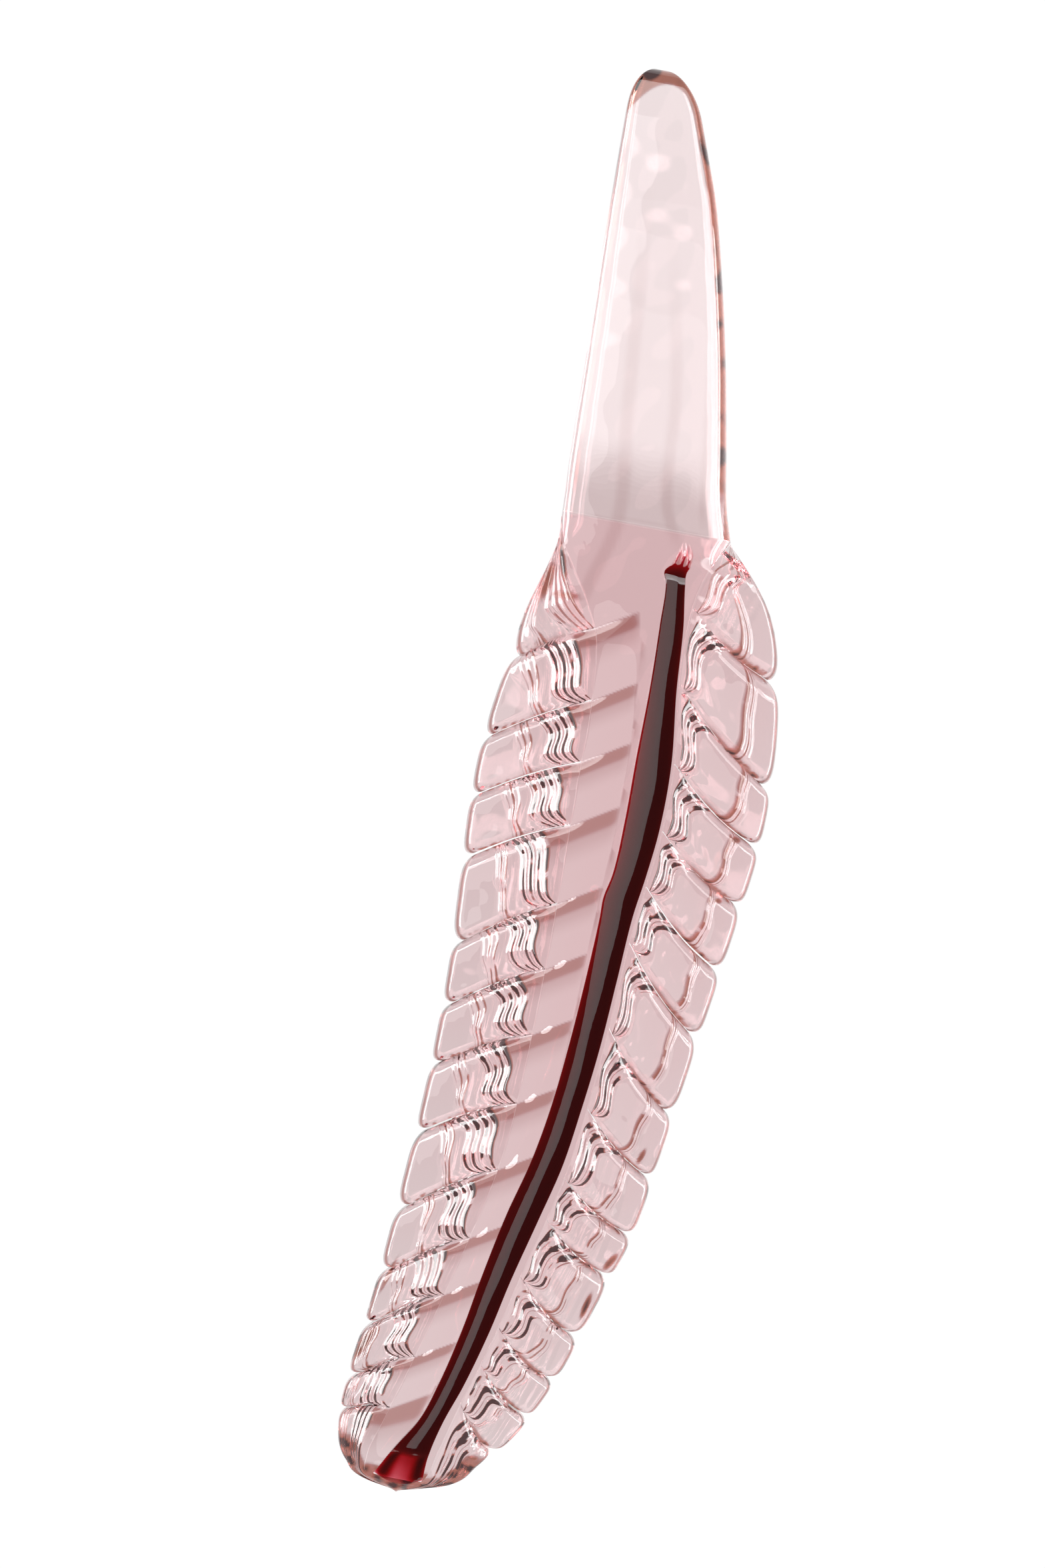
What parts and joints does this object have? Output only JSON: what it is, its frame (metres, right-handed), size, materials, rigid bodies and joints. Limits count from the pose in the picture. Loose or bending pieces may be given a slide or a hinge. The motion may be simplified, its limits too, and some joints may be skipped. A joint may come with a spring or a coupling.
{
  "type": "glass feather quill",
  "caption": "Solid pink glass feather quill with slanted barbs along both sides, a smooth blunt stem and a dark red glass trail for its shaft, lying flat.",
  "frame": {"origin": "centre of the whole object's box seen from above, on the surface that it lies on", "axes": "+Y along the feather towards the stem's blunt end, +Z up out of the side that carries the red trail, +X to the right when seen from above with +Y up"},
  "size_m": [0.0395, 0.18, 0.0117],
  "materials": {
    "pink_glass": "polished, clear, tinted pink in the mass",
    "red_glass": "polished, dark red, almost opaque"
  },
  "bodies": {
    "root": {"stem": "pink_glass", "spine": "pink_glass", "red_trail": "red_glass", "left_barb_01": "pink_glass", "left_barb_02": "pink_glass", "left_barb_03": "pink_glass", "left_barb_04": "pink_glass", "left_barb_05": "pink_glass", "left_barb_06": "pink_glass", "left_barb_07": "pink_glass", "left_barb_08": "pink_glass", "left_barb_09": "pink_glass", "left_barb_10": "pink_glass", "left_barb_11": "pink_glass", "left_barb_12": "pink_glass", "left_barb_13": "pink_glass", "left_barb_14": "pink_glass", "right_barb_01": "pink_glass", "right_barb_02": "pink_glass", "right_barb_03": "pink_glass", "right_barb_04": "pink_glass", "right_barb_05": "pink_glass", "right_barb_06": "pink_glass", "right_barb_07": "pink_glass", "right_barb_08": "pink_glass", "right_barb_09": "pink_glass", "right_barb_10": "pink_glass", "right_barb_11": "pink_glass", "right_barb_12": "pink_glass", "right_barb_13": "pink_glass", "right_barb_14": "pink_glass", "right_barb_15": "pink_glass"}
  },
  "joints": []
}
